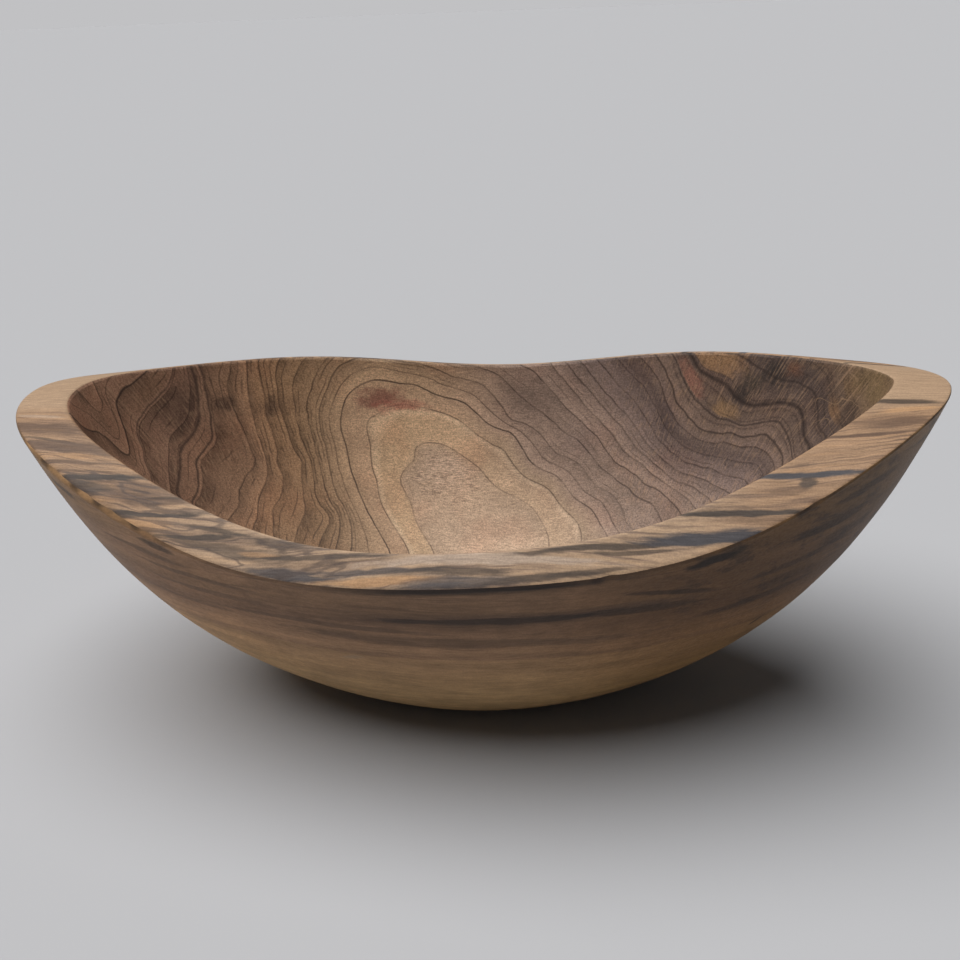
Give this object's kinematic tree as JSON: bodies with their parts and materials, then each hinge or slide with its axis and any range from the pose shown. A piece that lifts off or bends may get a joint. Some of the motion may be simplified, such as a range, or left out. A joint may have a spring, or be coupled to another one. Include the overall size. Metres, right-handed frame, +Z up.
{
  "type": "carved wooden bowl",
  "caption": "Hand-carved oval wooden bowl with high pointed ends, dipping long sides, a broad flat-faced rim and a small flat to rest on.",
  "frame": {"origin": "on the surface the bowl stands on, below the middle of its overall length and width", "axes": "+X along the grain of the wood and the bowl's long way, towards its more pointed end; +Y towards the higher long side; +Z up"},
  "size_m": [0.3894, 0.2152, 0.1443],
  "materials": {
    "walnut": "hand-rubbed oil over a carved and scraped surface, low sheen"
  },
  "bodies": {
    "root": {"bowl_body": "walnut"}
  },
  "joints": []
}
